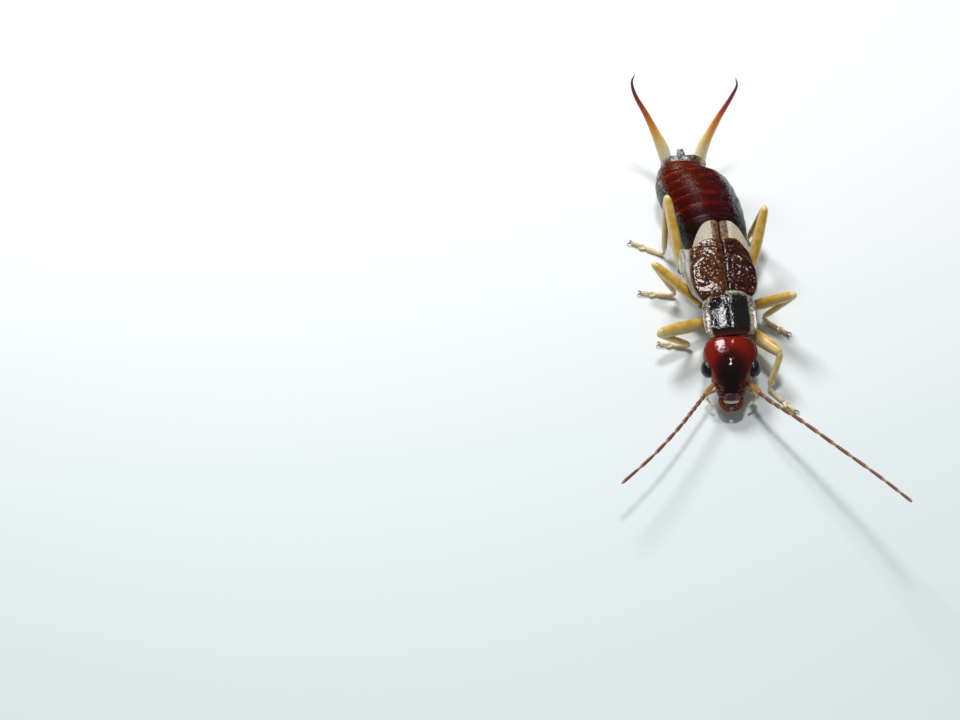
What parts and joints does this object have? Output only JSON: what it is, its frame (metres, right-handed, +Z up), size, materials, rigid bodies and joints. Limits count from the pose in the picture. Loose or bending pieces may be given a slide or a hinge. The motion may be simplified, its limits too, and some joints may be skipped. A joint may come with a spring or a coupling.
{
  "type": "earwig",
  "caption": "Life-size still earwig standing on its feet, with folded wings, raised forceps and long beaded antennae.",
  "frame": {"origin": "bottom centre of the bounding box, on the floor that the feet stand on", "axes": "+Y from the head to the forceps, +X to the animal's own left, +Z up"},
  "size_m": [0.0108, 0.022, 0.0051],
  "materials": {
    "head": "glossy chitin, dark red to near black",
    "eye": "fine facets, blue-black",
    "plate": "glossy black with pale sides",
    "tegmen": "finely punctured, satin, dark brown",
    "wing_tip": "satin, cream with a brown inner band",
    "abdomen": "glossy, dark red-brown",
    "forceps": "glossy, cream at the root to red-brown at the tip",
    "leg": "satin, honey yellow",
    "antenna": "satin, red-brown with paler joints"
  },
  "bodies": {
    "root": {"head": "head", "eye_left": "eye", "eye_right": "eye", "pronotum": "plate", "tegmen_left": "tegmen", "wing_tip_left": "wing_tip", "tegmen_right": "tegmen", "wing_tip_right": "wing_tip", "thorax": "plate", "neck": "plate", "abdomen": "abdomen", "last_tergite": "abdomen", "pygidium": "forceps", "forceps_right": "forceps", "forceps_left": "forceps", "antenna_right_scape": "antenna", "antenna_right_base": "antenna", "antenna_right_tip": "antenna", "antenna_left_scape": "antenna", "antenna_left_base": "antenna", "antenna_left_tip": "antenna", "leg_front_right_coxa": "leg", "leg_front_right_femur": "leg", "leg_front_right_tibia": "leg", "leg_front_right_tarsus": "leg", "leg_front_left_coxa": "leg", "leg_front_left_femur": "leg", "leg_front_left_tibia": "leg", "leg_front_left_tarsus": "leg", "leg_middle_right_coxa": "leg", "leg_middle_right_femur": "leg", "leg_middle_right_tibia": "leg", "leg_middle_right_tarsus": "leg", "leg_middle_left_coxa": "leg", "leg_middle_left_femur": "leg", "leg_middle_left_tibia": "leg", "leg_middle_left_tarsus": "leg", "leg_hind_right_coxa": "leg", "leg_hind_right_femur": "leg", "leg_hind_right_tibia": "leg", "leg_hind_right_tarsus": "leg", "leg_hind_left_coxa": "leg", "leg_hind_left_femur": "leg", "leg_hind_left_tibia": "leg", "leg_hind_left_tarsus": "leg", "labrum": "head", "mandible_left": "head", "palp_left": "leg", "mandible_right": "head", "palp_right": "leg"}
  },
  "joints": []
}
